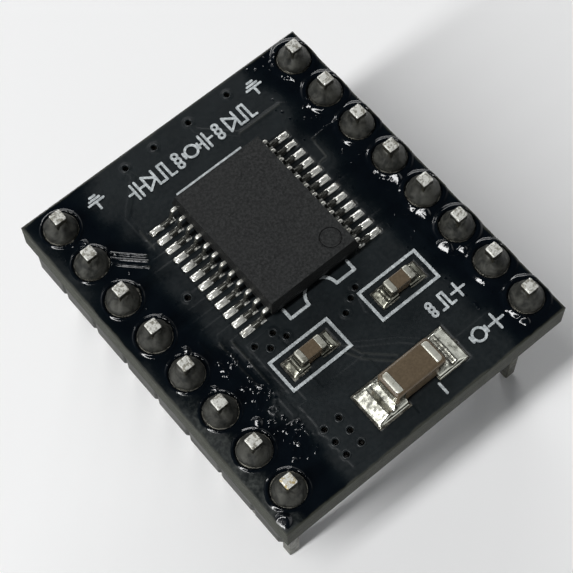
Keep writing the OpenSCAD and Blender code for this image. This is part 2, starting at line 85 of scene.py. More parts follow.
class Graph:
    """One material's node tree, with short calls for the nodes used here."""

    def __init__(self, name):
        self.mat = bpy.data.materials.new(name)
        self.mat.use_nodes = True
        self.tree = self.mat.node_tree
        self.bsdf = self.tree.nodes["Principled BSDF"]
        self.space = self.node("ShaderNodeVectorMath", operation="SCALE")
        self.tree.links.new(self.node("ShaderNodeTexCoord").outputs["Object"], self.space.inputs[0])
        self.space.inputs["Scale"].default_value = 1 / MM

    def node(self, kind, **settings):
        made = self.tree.nodes.new(kind)
        for key, value in settings.items():
            setattr(made, key, value)
        return made

    def put(self, socket, value):
        """Set a socket: link it to another socket, or give it a number or a colour."""
        if isinstance(value, bpy.types.NodeSocket):
            self.tree.links.new(value, socket)
        elif isinstance(value, tuple) and len(value) == 3 and socket.type == "RGBA":
            socket.default_value = (*value, 1)
        else:
            socket.default_value = value

    def noise(self, scale, detail=2.0, rough=0.5, stretch=None, distortion=0.0):
        """Noise in millimetre space, with scale in features per millimetre."""
        made = self.node("ShaderNodeTexNoise")
        vector = self.space.outputs[0]
        if stretch:
            shape = self.node("ShaderNodeVectorMath", operation="MULTIPLY")
            self.put(shape.inputs[0], vector)
            shape.inputs[1].default_value = stretch
            vector = shape.outputs[0]
        self.put(made.inputs["Vector"], vector)
        made.inputs["Scale"].default_value = scale
        made.inputs["Detail"].default_value = detail
        made.inputs["Roughness"].default_value = rough
        made.inputs["Distortion"].default_value = distortion
        return made.outputs["Fac"]

    def cells(self, scale):
        """Distance to the nearest of many scattered points."""
        made = self.node("ShaderNodeTexVoronoi")
        self.put(made.inputs["Vector"], self.space.outputs[0])
        made.inputs["Scale"].default_value = scale
        return made.outputs["Distance"]

    def math(self, operation, a, b=0.0, clamp=False):
        made = self.node("ShaderNodeMath", operation=operation, use_clamp=clamp)
        self.put(made.inputs[0], a)
        self.put(made.inputs[1], b)
        return made.outputs[0]

    def remap(self, value, low, high, to_low=0.0, to_high=1.0):
        """A smooth change from to_low to to_high as the value goes from low to high."""
        made = self.node("ShaderNodeMapRange", interpolation_type="SMOOTHSTEP")
        for key, item in zip(("Value", "From Min", "From Max", "To Min", "To Max"),
                             (value, low, high, to_low, to_high)):
            self.put(made.inputs[key], item)
        return made.outputs["Result"]

    def mix(self, factor, a, b):
        made = self.node("ShaderNodeMix", data_type="RGBA")
        self.put(made.inputs["Factor"], factor)
        self.put(made.inputs["A"], a)
        self.put(made.inputs["B"], b)
        return made.outputs["Result"]

    def coat(self):
        """The three coverage values that the board's skin carries: flux, dust, and rim (the worn board
        edge, and a painted highlight along the raised track edges).
        """
        made = self.node("ShaderNodeSeparateColor")
        self.put(made.inputs[0], self.node("ShaderNodeAttribute", attribute_name="coat").outputs["Color"])
        return made.outputs[:3]

    def axis(self, index):
        """One coordinate of the place, in millimetres: 0 is x, 1 is y, 2 is z."""
        made = self.node("ShaderNodeSeparateXYZ")
        self.put(made.inputs[0], self.space.outputs[0])
        return made.outputs[index]

    def facing_up(self, low, high):
        """0 on steep faces, 1 on faces that look up."""
        made = self.node("ShaderNodeSeparateXYZ")
        self.put(made.inputs[0], self.node("ShaderNodeNewGeometry").outputs["Normal"])
        return self.remap(made.outputs[2], low, high)

    def level(self, low, high):
        """0 below one height over the floor in millimetres, 1 above another."""
        made = self.node("ShaderNodeSeparateXYZ")
        self.put(made.inputs[0], self.node("ShaderNodeNewGeometry").outputs["Position"])
        return self.remap(made.outputs[2], low * MM, high * MM)

    def bump(self, height, depth_mm, strength=1.0, below=None):
        made = self.node("ShaderNodeBump")
        self.put(made.inputs["Height"], height)
        made.inputs["Distance"].default_value = depth_mm * MM
        made.inputs["Strength"].default_value = strength
        if below is not None:
            self.put(made.inputs["Normal"], below)
        return made.outputs["Normal"]

    def finish(self, **sockets):
        """Set the shader's own sockets, named with _ for a space, and give the material."""
        for name, value in sockets.items():
            self.put(self.bsdf.inputs[name.replace("_", " ")], value)
        return self.mat


# --- materials ------------------------------------------------------------------------


def mask_material():
    """Near-black navy solder mask: matt where clean, dark and glossy under dried flux."""
    g = Graph("solder_mask")
    flux, dust, rim = g.coat()
    mottle = g.remap(g.noise(0.8, 4.0, 0.6), 0.35, 0.7)
    specks = g.remap(g.noise(7.0, 3.0, 0.7), 0.62, 0.8)
    clean = g.mix(mottle, (0.0040, 0.0070, 0.0086), (0.0068, 0.0106, 0.0124))
    clean = g.mix(g.math("MULTIPLY", specks, 0.4), clean, (0.024, 0.031, 0.034))
    wet = g.mix(mottle, (0.0016, 0.0030, 0.0050), (0.0026, 0.0044, 0.0068))
    dusty = g.mix(g.remap(g.noise(5.0, 4.0, 0.7), 0.4, 0.65), (0.010, 0.013, 0.013), (0.042, 0.048, 0.045))
    # The rim colour is the paler olive of the worn board edge, and also a painted highlight along the
    # raised track edges.
    colour = g.mix(rim, g.mix(dust, g.mix(flux, clean, wet), dusty), (0.040, 0.042, 0.031))
    dry = g.math("MULTIPLY", g.math("MAXIMUM", dust, rim), 0.4)
    base = g.remap(flux, 0.0, 1.0, 0.42, 0.07)
    uneven = g.remap(g.noise(5.0, 3.0), 0.3, 0.7, -0.03, 0.05)
    rough = g.math("ADD", dry, g.math("ADD", base, uneven), clamp=True)
    fine = g.bump(g.noise(9.0, 3.0, 0.55), 0.004, 0.5)
    return g.finish(Base_Color=colour, Roughness=rough, Normal=fine, Specular_IOR_Level=0.4)


def laminate_material():
    """Sawn glass-fibre laminate: olive grey, with thin level plies and short fibre streaks."""
    g = Graph("glass_fibre")
    plies = g.noise(1.0, 2.0, 0.5, (0.25, 0.25, 9.0))
    fibres = g.noise(1.0, 3.0, 0.7, (2.5, 2.5, 22.0))
    dirt = g.noise(1.6, 4.0, 0.6)
    colour = g.mix(g.remap(plies, 0.35, 0.65), (0.020, 0.022, 0.015), (0.038, 0.041, 0.028))
    colour = g.mix(g.remap(fibres, 0.55, 0.8), colour, (0.062, 0.065, 0.047))
    colour = g.mix(g.remap(dirt, 0.52, 0.78), colour, (0.016, 0.017, 0.013))
    rough = g.remap(fibres, 0.3, 0.8, 0.60, 0.88)
    cut = g.bump(fibres, 0.03, 0.8)
    return g.finish(Base_Color=colour, Roughness=rough, Specular_IOR_Level=0.3,
                    Normal=g.bump(g.noise(14.0, 2.0), 0.008, 0.6, cut))


def ink_material():
    """Printed white ink, thin enough in places for the mask to grey it."""
    g = Graph("white_ink")
    thin = g.remap(g.noise(7.0, 4.0, 0.65), 0.42, 0.62)
    colour = g.mix(thin, (0.36, 0.39, 0.40), (0.60, 0.64, 0.65))
    return g.finish(Base_Color=colour, Roughness=0.6, Normal=g.bump(g.noise(16.0, 2.0), 0.006, 0.7))


def strip_material():
    """Moulded header plastic: dark grey with flow marks, rubbed paler where it was snapped."""
    g = Graph("header_plastic")
    flow = g.noise(1.0, 3.0, 0.5, (2.0, 0.4, 3.0))
    scuff = g.remap(g.noise(5.0, 4.0, 0.7), 0.58, 0.75)
    colour = g.mix(g.remap(flow, 0.3, 0.7), (0.012, 0.013, 0.010), (0.020, 0.021, 0.016))
    colour = g.mix(scuff, colour, (0.048, 0.050, 0.040))
    rough = g.remap(flow, 0.3, 0.7, 0.42, 0.6)
    return g.finish(Base_Color=colour, Roughness=rough, Specular_IOR_Level=0.35,
                    Normal=g.bump(g.noise(12.0, 3.0), 0.01, 0.5))


def copper_material(name, bright, dark, rough, metallic, grain):
    """Bare or tinned copper: bright and darker patches, uneven gloss and a fine grain."""
    g = Graph(name)
    patch = g.noise(grain * 0.35, 4.0, 0.6)
    colour = g.mix(g.remap(patch, 0.40, 0.70), bright, dark)
    gloss = g.remap(g.noise(grain, 3.0), 0.3, 0.75, *rough)
    fine = g.bump(g.noise(grain * 3, 3.0, 0.6), 0.004, 0.6)
    return g.finish(Base_Color=colour, Metallic=metallic, Roughness=gloss, Normal=fine)


def dull_solder_material():
    """Hand-made joint under dried flux: grainy grey tin with dark stains, and tiny pits with painted shade
    in them.
    """
    g = Graph("dull_solder")
    stain = g.noise(1.6, 4.0, 0.65, distortion=0.6)
    grain = g.noise(16.0, 4.0, 0.6)
    pits = g.remap(g.cells(4.5), 0.04, 0.16, 1.0, 0.0)
    colour = g.mix(g.remap(stain, 0.38, 0.66), (0.060, 0.060, 0.052), (0.016, 0.017, 0.015))
    # The pits are darkened: painted shade in them.
    colour = g.mix(g.math("MULTIPLY", pits, 0.65), colour, (0.008, 0.008, 0.008))
    rough = g.remap(grain, 0.3, 0.7, 0.42, 0.66)
    coarse = g.bump(g.math("SUBTRACT", grain, pits), 0.014, 0.7)
    return g.finish(Base_Color=colour, Metallic=0.45, Roughness=rough, Normal=coarse,
                    Specular_IOR_Level=0.4)


def compound_material():
    """Moulding compound: charcoal, finely speckled, with a soft even sheen, and painted shade on its steep
    sides.
    """
    g = Graph("moulding_compound")
    speck = g.noise(7.5, 4.0, 0.75)
    patches = g.noise(0.7, 3.0)
    colour = g.mix(g.remap(speck, 0.35, 0.72), (0.0030, 0.0036, 0.0038), (0.0300, 0.0316, 0.0312))
    colour = g.mix(g.remap(patches, 0.3, 0.75, 0.0, 0.35), colour, (0.0140, 0.0146, 0.0150))
    # Steep sides get a darker colour than the top: painted shade.
    colour = g.mix(g.facing_up(0.35, 0.9), (0.0022, 0.0026, 0.0026), colour)
    rough = g.remap(speck, 0.3, 0.7, 0.50, 0.68)
    return g.finish(Base_Color=colour, Roughness=rough, Normal=g.bump(speck, 0.016, 0.9),
                    Specular_IOR_Level=0.3)


def ceramic_material():
    """Fired capacitor body: fine-grained tan brown with a low sheen."""
    g = Graph("capacitor_ceramic")
    grain = g.noise(9.0, 4.0, 0.6)
    colour = g.mix(g.remap(grain, 0.3, 0.75), (0.088, 0.064, 0.038), (0.122, 0.090, 0.056))
    colour = g.mix(g.remap(g.noise(1.5, 2.0), 0.5, 0.8, 0.0, 0.4), colour, (0.068, 0.049, 0.030))
    return g.finish(Base_Color=colour, Roughness=0.38, Normal=g.bump(grain, 0.005, 0.5))


def pin_material(name, spot):
    """Tinned pin: sheared bright top, sides near black from flux stain and painted shade, dark olive tin
    with painted shade below the board.
    """
    g = Graph(name)
    pits = g.remap(g.noise(6.0, 4.0, 0.7), 0.46, 0.60)
    top = g.mix(pits, (0.78, 0.78, 0.73), spot)
    # The sides are near black: partly flux stain, partly painted shade.
    stained_and_shaded = g.mix(g.remap(g.noise(3.0, 3.0), 0.4, 0.65), (0.040, 0.038, 0.028), (0.010, 0.010, 0.008))
    # Below the board the tin is dark olive: its olive tone with painted shade.
    low = g.mix(g.remap(g.noise(2.0, 3.0), 0.35, 0.7), (0.060, 0.060, 0.038), (0.026, 0.027, 0.017))
    upper = g.mix(g.level(PIN_TOP - 0.11, PIN_TOP - 0.04), stained_and_shaded, top)
    colour = g.mix(g.level(STRIP_TOP - 0.28, STRIP_TOP + 0.02), low, upper)
    rough = g.remap(g.noise(6.0, 3.0), 0.3, 0.75, 0.28, 0.50)
    return g.finish(Base_Color=colour, Metallic=0.3, Roughness=rough,
                    Normal=g.bump(g.noise(8.0, 3.0, 0.6), 0.010, 0.7))


def topped_metal(name, top, spot, side, tilt, metallic, rough, depth):
    """Tin that is clean and spotted where it looks up, with a dark colour on its steep sides as painted
    shade.

    tilt is how far up a face looks where the painted shade of the sides gives way to the clean top, from 0
    to 1.
    """
    g = Graph(name)
    patch = g.remap(g.noise(2.4, 4.0, 0.6), 0.48, 0.70)
    # side is the painted shade on steep faces; top and spot are the tin's own colours.
    colour = g.mix(g.facing_up(*tilt), side, g.mix(patch, top, spot))
    gloss = g.remap(g.noise(4.0, 3.0), 0.3, 0.75, rough, rough + 0.14)
    return g.finish(Base_Color=colour, Metallic=metallic, Roughness=gloss,
                    Normal=g.bump(g.noise(6.0, 3.0), depth, 0.6))


def toe_material():
    """Solder of the driver's pads: tin colour on the heel bead and the toe, near black beside the foot and
    on steep faces as painted shade.
    """
    g = Graph("bright_solder")
    out = g.math("ABSOLUTE", g.math("SUBTRACT", g.axis(0), CHIP[0]))
    toe = g.remap(out, LEAD_TIP - 0.10, LEAD_TIP - 0.02)
    heel = g.remap(out, PAD_START + 0.30, PAD_START + 0.38, 1.0, 0.0)
    clean = g.math("MULTIPLY", g.math("MAXIMUM", toe, heel), g.facing_up(0.2, 0.6))
    tin = g.mix(g.remap(g.noise(2.4, 4.0, 0.6), 0.50, 0.72), (0.94, 0.94, 0.88), (0.50, 0.49, 0.44))
    rough = g.remap(g.noise(4.0, 3.0), 0.3, 0.75, 0.16, 0.28)
    # The near-black colour beside the foot and on steep faces is painted shade.
    return g.finish(Base_Color=g.mix(clean, (0.030, 0.030, 0.025), tin), Metallic=0.55, Roughness=rough,
                    Normal=g.bump(g.noise(6.0, 3.0), 0.002, 0.6))


def lead_material():
    """Formed driver lead: tin colour over the shoulder, painted shade down the slope and along the foot."""
    g = Graph("tinned_lead")
    shoulder = g.level(LEAD_LOW[2] + 0.35, LEAD_LOW[2] + 0.55)
    tin = g.mix(g.remap(g.noise(2.5, 3.0), 0.45, 0.7), (0.80, 0.79, 0.73), (0.40, 0.39, 0.34))
    # Steep faces and everything below the shoulder get a near-black colour: painted shade.
    colour = g.mix(g.math("MULTIPLY", g.facing_up(0.35, 0.75), shoulder), (0.060, 0.060, 0.052), tin)
    rough = g.remap(g.noise(4.0, 3.0), 0.3, 0.75, 0.22, 0.36)
    return g.finish(Base_Color=colour, Metallic=0.6, Roughness=rough,
                    Normal=g.bump(g.noise(6.0, 3.0), 0.002, 0.6))


MASK = mask_material()
LAMINATE = laminate_material()
INK = ink_material()
STRIP = strip_material()
DULL = dull_solder_material()
COMPOUND = compound_material()
CERAMIC = ceramic_material()
PIN = pin_material("pin_metal", (0.26, 0.25, 0.21))
PIN_WORN = pin_material("pin_metal_worn", (0.42, 0.32, 0.12))
TOE = toe_material()
LEAD = lead_material()
# The side colours below are painted shade on the steep faces.
PAD_SOLDER = topped_metal("pad_solder", top=(0.80, 0.80, 0.70), spot=(0.22, 0.22, 0.18),
                          side=(0.050, 0.050, 0.036), tilt=(0.40, 0.80), metallic=0.9, rough=0.16,
                          depth=0.003)
PAD_DULL = topped_metal("pad_solder_dull", top=(0.34, 0.34, 0.28), spot=(0.060, 0.058, 0.044),
                        side=(0.030, 0.030, 0.022), tilt=(0.45, 0.85), metallic=0.9, rough=0.18,
                        depth=0.005)
END = topped_metal("tinned_end", top=(0.66, 0.66, 0.58), spot=(0.34, 0.33, 0.26),
                   side=(0.045, 0.042, 0.028), tilt=(0.45, 0.90), metallic=0.45, rough=0.26, depth=0.004)
END_DULL = topped_metal("tinned_end_dull", top=(0.46, 0.46, 0.40), spot=(0.14, 0.135, 0.10),
                        side=(0.040, 0.038, 0.026), tilt=(0.45, 0.90), metallic=0.45, rough=0.28,
                        depth=0.006)
COPPER = copper_material("copper", (0.80, 0.46, 0.28), (0.52, 0.27, 0.15), (0.30, 0.50), 1.0, 3.0)
TINNED = copper_material("copper_tinned", (0.62, 0.60, 0.52), (0.24, 0.23, 0.19), (0.22, 0.42), 1.0, 4.0)
# The plated barrels get a near-black colour: painted shade inside the small holes.
PLATED_PAINTED_SHADE = copper_material("plated_hole_painted_shade", (0.030, 0.026, 0.020), (0.010, 0.009, 0.007),
                         (0.55, 0.80), 0.6, 4.0)

# --- CAD nodes that stay: material, and edges softened by a small bevel --------------------


def dress(node, material, bevel_mm=0.0, segments=2):
    """Give a CAD node its material, and soften its edges by a bevel of this many millimetres."""
    made = NODES[node]
    made.data.materials.clear()
    made.data.materials.append(material)
    if bevel_mm:
        weld = made.modifiers.new("weld", "WELD")
        weld.merge_threshold = 0.0005 * MM
        soft = made.modifiers.new("soft_edges", "BEVEL")
        soft.width = bevel_mm * MM
        soft.segments = segments
        soft.limit_method = "ANGLE"
        soft.angle_limit = math.radians(35)


dress("board_core", LAMINATE, 0.03)
dress("mask_bottom", MASK, 0.012)
dress("print_top", INK)
for copper in ("pin_barrels", "driver_paddle", "driver_wires", "driver_die"):
    dress(copper, COPPER)
for copper in ("copper_top", "copper_bottom"):
    dress(copper, TINNED)
# the barrels carry the painted shade of the holes
dress("via_barrels", PLATED_PAINTED_SHADE)
for side, _ in SIDES:
    dress(f"header_strip_{side}", STRIP, 0.06, 3)
    for k in range(1, ROW_PINS + 1):
        worn = side == "left" and k == ROW_PINS
        dress(f"pin_{side}_{k}", PIN_WORN if worn else PIN, 0.07, 3)
dress("driver_body", COMPOUND, 0.05, 3)

# --- new pieces ---------------------------------------------------------------------------


def piece(name, points, faces, material, slot, replaced=()):
    """A smooth-shaded mesh from points in millimetres, riding on the board."""
    mesh = bpy.data.meshes.new(name)
    mesh.from_pydata([tuple(float(c) * MM for c in p) for p in points], [], faces)
    bm = bmesh.new()
    bm.from_mesh(mesh)
    bmesh.ops.recalc_face_normals(bm, faces=bm.faces)
    bm.to_mesh(mesh)
    bm.free()
    mesh.materials.append(material)
    mesh.polygons.foreach_set("use_smooth", [True] * len(mesh.polygons))
    made = bpy.data.objects.new(name, mesh)
    bpy.context.scene.collection.objects.link(made)
    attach(made, "root")
    if replaced:
        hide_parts(*replaced)
    return made


def grid_faces(rows, columns):
    """The quads of a grid of points, row by row, and the points round its border in order."""
    index = np.arange(rows * columns).reshape(rows, columns)
    quads = np.dstack([index[:-1, :-1], index[:-1, 1:], index[1:, 1:], index[1:, :-1]]).reshape(-1, 4)
    border = np.concatenate([index[0, :-1], index[:-1, -1], index[-1, :0:-1], index[:0:-1, 0]])
    return quads, border


def skirted(points, border, bottom):
    """The same grid with its border carried straight down to one level."""
    low_ring = points[border] * (1, 1, 0) + (0, 0, bottom)
    ring = np.arange(len(border)) + len(points)
    skirt = np.stack([border, ring, np.roll(ring, -1), np.roll(border, -1)], 1)
    return np.vstack([points, low_ring]), skirt, ring


def ring_faces(rings, around, capped=True):
    """The quads between rings of points, with a face over each end where it is capped."""
    faces = [(j * around + i, j * around + (i + 1) % around, (j + 1) * around + (i + 1) % around,
              (j + 1) * around + i) for j in range(rings - 1) for i in range(around)]
    if capped:
        faces.append(tuple(range(around - 1, -1, -1)))
        faces.append(tuple((rings - 1) * around + i for i in range(around)))
    return faces


def turns(around):
    """Evenly spaced angles, once round."""
    return np.arange(around) * 2 * math.pi / around


def rough_field(x, y, scale, seed):
    """Smooth noise from about -1 to 1 at points in millimetres."""
    flat = [noise.fractal(Vector((a * scale + seed, b * scale - seed, seed * 0.37)), 0.8, 2.0, 3)
            for a, b in zip(x.ravel(), y.ravel())]
    return np.array(flat).reshape(x.shape)


def heap(x_edges, y_edges, height):
    """Points and faces of a closed heap: a height field on a flat base at level 0."""
    x, y = np.meshgrid(x_edges, y_edges)
    top = np.dstack([x, y, height(x, y)]).reshape(-1, 3)
    quads, border = grid_faces(*x.shape)
    points, skirt, ring = skirted(top, border, 0)
    return points, np.vstack([quads, skirt]).tolist() + [ring[::-1].tolist()]


def join(parts):
    """Several sets of points and faces as one."""
    points, faces, start = [], [], 0
    for p, f in parts:
        points.append(np.asarray(p, float))
        faces += [tuple(v + start for v in one) for one in f]
        start += len(p)
    return np.vstack(points), faces


# --- pin joints ----------------------------------------------------------------------------

# outline of a joint: radius and height above its pad
DOME = ((0.86, 0.00), (0.87, 0.05), (0.85, 0.15), (0.80, 0.28), (0.725, 0.41), (0.635, 0.54), (0.545, 0.67),
        (0.475, 0.80), (0.43, 0.92), (0.39, 1.02), (0.33, 1.06))
# direction in degrees, seen from above, in which each heap stays open beside its pin
CLEFT = -127.0


def dome(place, seed):
    """One heaped joint: round at the foot, leaning in to the pin, never quite regular."""
    around, rings = 56, 26
    t = np.linspace(0, len(DOME) - 1, rings)
    radius = np.interp(t, range(len(DOME)), [p[0] for p in DOME])
    level = np.interp(t, range(len(DOME)), [p[1] for p in DOME])
    rng = np.random.RandomState(seed)
    lean = rng.uniform(-0.035, 0.035, 2)
    tall = rng.uniform(0.90, 1.08)
    opening = CLEFT + rng.uniform(-25, 25)
    points = []
    for r, z in zip(radius, level):
        for a in turns(around):
            spot = Vector((math.cos(a) * r, math.sin(a) * r, z))
            swell = noise.fractal(spot * 1.6 + Vector((seed, 0, 0)), 0.8, 2.0, 2) * 0.085
            grain = noise.fractal(spot * 6.0 + Vector((0, seed, 0)), 0.9, 2.0, 3) * 0.016
            free = min(1.0, z / 0.15)  # the foot is held to its round pad
            off = (math.degrees(a) - opening + 180) % 360 - 180
            cleft = 0.20 * math.exp(-(off / 17) ** 2) * min(1.0, max(0.0, (z - 0.30) / 0.35))
            grow = 1 + swell * (0.4 + 0.6 * free) + grain - cleft
            points.append((place[0] + spot.x * grow + lean[0] * z, place[1] + spot.y * grow + lean[1] * z,
                           PAD_TOP + z * tall * (1 + grain)))
    return points, ring_faces(rings, around)


for number, (key, place) in enumerate(PIN_PLACES.items()):
    piece(f"joint_{key}", *dome(place, 3 + number * 7), DULL, "dull_solder", [f"solder_{key}"])

# --- the board's skin: mask over the copper relief, with dried flux on it ------------------

CELL = 0.047  # spacing of the skin's points
PIT = 0.03  # how far the skin dips under the pad's face where the mask is open
VIA_R = 0.17  # radius of the opening left over each small plated hole

# dried flux round each joint: how far it reaches, how thick it is, and how wide its rim is
POOLS = {"left": (1.06, 0.066, 0.17), "right": (1.24, 0.105, 0.25)}
# mounds of flux: nearest joint, offset across and along from it, radius, height
MOUNDS = (
    ("left_1", 2.00, 0.30, 0.14, 0.07), ("left_2", 0.38, 1.12, 0.26, 0.15),
    ("left_2", 0.30, 1.55, 0.16, 0.08), ("left_3", 0.42, 0.98, 0.14, 0.07),
    ("left_5", 0.62, 0.92, 0.30, 0.17), ("left_6", 0.44, 1.03, 0.26, 0.15),
    ("left_7", 0.95, 0.97, 0.32, 0.18), ("left_7", 1.40, 0.60, 0.16, 0.08),
    ("left_8", 1.10, 0.90, 0.20, 0.09), ("left_8", -1.16, -1.00, 0.44, 0.25),
    ("right_1", -0.85, -0.95, 0.20, 0.09), ("right_3", 0.10, 1.10, 0.16, 0.07),
    ("right_4", -0.60, -1.05, 0.44, 0.24), ("right_5", -0.82, -0.86, 0.46, 0.25),
    ("right_6", -1.20, -0.44, 0.48, 0.26), ("right_6", -0.66, -1.12, 0.28, 0.16),
    ("right_7", -2.15, -1.15, 0.12, 0.07), ("right_7", -2.18, -1.32, 0.10, 0.06),
    ("right_8", -0.95, -0.85, 0.34, 0.19), ("right_8", 0.60, -1.15, 0.12, 0.07),
    ("right_8", 0.95, -0.55, 0.14, 0.05),
)
# each mound has one flat flank, whose rise looks this way and is this steep
FLANK_WAY = (0.94, 0.33)
FLANK_SLOPE = 0.577
# scattered droplets: how many, the range across and along from the grid's middle, and of radius
SPRAYS = (
    (90, (4.9, 6.9), (-8.0, 9.6), (0.05, 0.09)),
    (64, (-6.4, -5.0), (-8.3, -1.6), (0.05, 0.12)),
    (40, (-8.6, -5.6), (-1.0, 9.8), (0.04, 0.08)),
    (24, (5.2, 8.4), (9.2, 10.0), (0.05, 0.11)),
)
# raised edges of buried tracks: two ends from the grid's middle, and height
RIDGES = (
    (-6.52, 6.21, -5.25, 4.92, 0.060), (-6.66, 5.94, -5.38, 4.67, 0.060),
    (-6.85, 5.70, -5.51, 4.35, 0.060), (-6.20, -0.40, -6.20, -2.60, 0.040),
    (-5.46, -1.05, -5.46, -4.10, 0.035), (-4.94, -1.40, -4.94, -4.20, 0.030),
    (-4.69, 6.20, -4.69, 5.00, 0.025), (2.66, 7.30, 5.30, 7.30, 0.022),
    (6.86, 4.68, 5.30, 4.66, 0.025), (5.30, 4.66, 5.20, 3.42, 0.025),
    (5.20, 3.42, 4.60, 3.34, 0.022), (-1.08, -5.33, -0.65, -6.17, 0.018),
    (-0.65, -6.17, 0.46, -7.25, 0.018), (-0.77, -5.12, -0.49, -5.91, 0.018),
    (-0.49, -5.91, 0.78, -7.11, 0.018),
)
RIDGE_W = 0.048


def lattice(x, y, scale, seed):
    """Smooth value noise from -1 to 1, for whole arrays of millimetre positions."""
    size = 64
    table = np.random.RandomState(seed).uniform(-1, 1, (size, size))
    u, v = x * scale, y * scale
    i, j = np.floor(u).astype(int), np.floor(v).astype(int)
    a, b = u - i, v - j
    a, b = a * a * (3 - 2 * a), b * b * (3 - 2 * b)

    def corner(m, n):
        return table[m % size, n % size]

    return ((corner(i, j) * (1 - a) + corner(i + 1, j) * a) * (1 - b)
            + (corner(i, j + 1) * (1 - a) + corner(i + 1, j + 1) * a) * b)


def cloud(x, y, scale, seed, octaves=3):
    """Layers of the same noise, each finer and weaker than the one before."""
    return sum(lattice(x, y, scale * 2 ** n, seed + n) * 0.55 ** n for n in range(octaves))


def step(value, low, high):
    """0 up to low, 1 from high, and a smooth change between."""
    t = np.clip((value - low) / (high - low), 0, 1)
    return t * t * (3 - 2 * t)


def blur(grid, times=1):
    """Each point mixed with its neighbours on both sides, across and along."""
    for _ in range(times):
        for axis in (0, 1):
            wide = np.pad(grid, [(1, 1) if n == axis else (0, 0) for n in (0, 1)], mode="edge")
            low = np.take(wide, range(0, grid.shape[axis]), axis)
            high = np.take(wide, range(2, grid.shape[axis] + 2), axis)
            grid = 0.25 * low + 0.5 * grid + 0.25 * high
    return grid


def drilled_places():
    """The middle of every small plated hole, from its barrel in the frame."""
    co = np.empty(len(NODES["via_barrels"].data.vertices) * 3)
    NODES["via_barrels"].data.vertices.foreach_get("co", co)
    spots = co.reshape(-1, 3)[:, :2] / MM
    centres = spots.copy()
    for _ in range(6):
        near = np.hypot(*(centres[:, None] - spots[None]).transpose(2, 0, 1)) < 0.36
        centres = near @ spots / near.sum(1)[:, None]
    found = []
    for p in centres:
        if all(np.hypot(*(p - q)) > 0.2 for q in found):
            found.append(p)
    return found


def mask_levels(x, y):
    """Height of the CAD mask under each point, and nan where the mask is open."""
    tree = BVHTree.FromObject(NODES["mask_top"], bpy.context.evaluated_depsgraph_get())
    down, top = Vector((0, 0, -1)), (MASK_TOP + 1) * MM
    level = np.full(x.shape, np.nan)
    for index in np.ndindex(x.shape):
        hit = tree.ray_cast(Vector((x[index] * MM, y[index] * MM, top)), down)[0]
        if hit is not None and hit.z / MM > PAD_TOP:
            level[index] = hit.z / MM
    return level


def ridge_lines(x, y):
    """Extra height of the raised track edges."""
    extra = np.zeros(x.shape)
    for x0, y0, x1, y1, tall in RIDGES:
        start, run = np.array((x0, y0)) + GRID[:2], np.array((x1 - x0, y1 - y0))
        t = np.clip(((x - start[0]) * run[0] + (y - start[1]) * run[1]) / (run @ run), 0, 1)
        d = np.hypot(x - start[0] - t * run[0], y - start[1] - t * run[1])
        extra = np.maximum(extra, tall * np.exp(-(d / RIDGE_W) ** 2))
    return extra


def bead_rise(dx, dy, r, h):
    """A round droplet."""
    return h * np.clip(1 - (np.hypot(dx, dy) / r) ** 2, 0, None) ** 0.75


def mound_rise(dx, dy, r, h):
    """A cone cut by one flat flank that faces the window light."""
    cone = 1.7 * h * np.clip(1 - np.hypot(dx, dy) / r, 0, None)
    along = FLANK_WAY[0] * dx + FLANK_WAY[1] * dy
    return np.minimum(cone, 0.6 * h + FLANK_SLOPE * along + 0.4 * along * along).clip(0)


def heaps(x, y, places, rise):
    """Extra height of many droplets or mounds, given as x, y, radius and height."""
    extra = np.zeros(x.shape)
    for cx, cy, r, h in places:
        i0, i1 = np.searchsorted(x[0], (cx - r, cx + r))
        j0, j1 = np.searchsorted(y[:, 0], (cy - r, cy + r))
        if i1 > i0 and j1 > j0:
            part = (slice(j0, j1), slice(i0, i1))
            extra[part] = np.maximum(extra[part], rise(x[part] - cx, y[part] - cy, r, h))
    return extra


def flux_pools(x, y, rng):
    """Height of the flux round the joints, and how far the board is wetted by it from 0 to 1."""
    film, wetted = np.zeros(x.shape), np.zeros(x.shape)
    for side, sign in SIDES:
        reach, thick, rim = POOLS[side]
        for k in range(1, ROW_PINS + 1):
            cx, cy = PIN_PLACES[f"{side}_{k}"]
            d = np.hypot(x - cx, y - cy)
            swell = reach + 0.06 * cloud(x, y, 0.8, 31 + k, 2) + rng.uniform(-0.04, 0.05)
            here = thick * rng.uniform(0.8, 1.15)
            pool = here * (1 - step(d, swell - rim / 2, swell + rim / 2))
            climb = 0.11 * np.exp(-np.clip(d - 0.88, 0, None) / 0.11) * (d < 2.2)
            film = np.maximum(film, pool + climb)
        row = np.abs(x - (GRID[0] + sign * ROW_OUT))
        inward = sign * (x - GRID[0]) < ROW_OUT
        spread = np.where(inward, 2.4, 1.4) + 0.5 * cloud(x, y, 0.55, 50 + sign)
        wetted = np.maximum(wetted, 1 - step(row, spread - 1.0, spread + 0.8))
    return film, wetted


def droplets(rng):
    """Places and sizes of the scattered droplets."""
    beads = []
    for count, across, along, radius in SPRAYS:
        for _ in range(count):
            r = rng.uniform(*radius)
            beads.append((GRID[0] + rng.uniform(*across), GRID[1] + rng.uniform(*along), r,
                          r * rng.uniform(0.35, 0.6)))
    return beads


def creases(x, y):
    """Wrinkled flux in a strip inside the left row, in the front half."""
    across, along = x - GRID[0] + 5.6, y - GRID[1]
    strip = np.exp(-(across / 0.75) ** 2) * step(-along, 1.0, 2.2) * step(along, -8.6, -7.2)
    return (0.5 - np.abs(cloud(x, y, 1.5, 71))).clip(0) ** 2 * 0.26 * strip


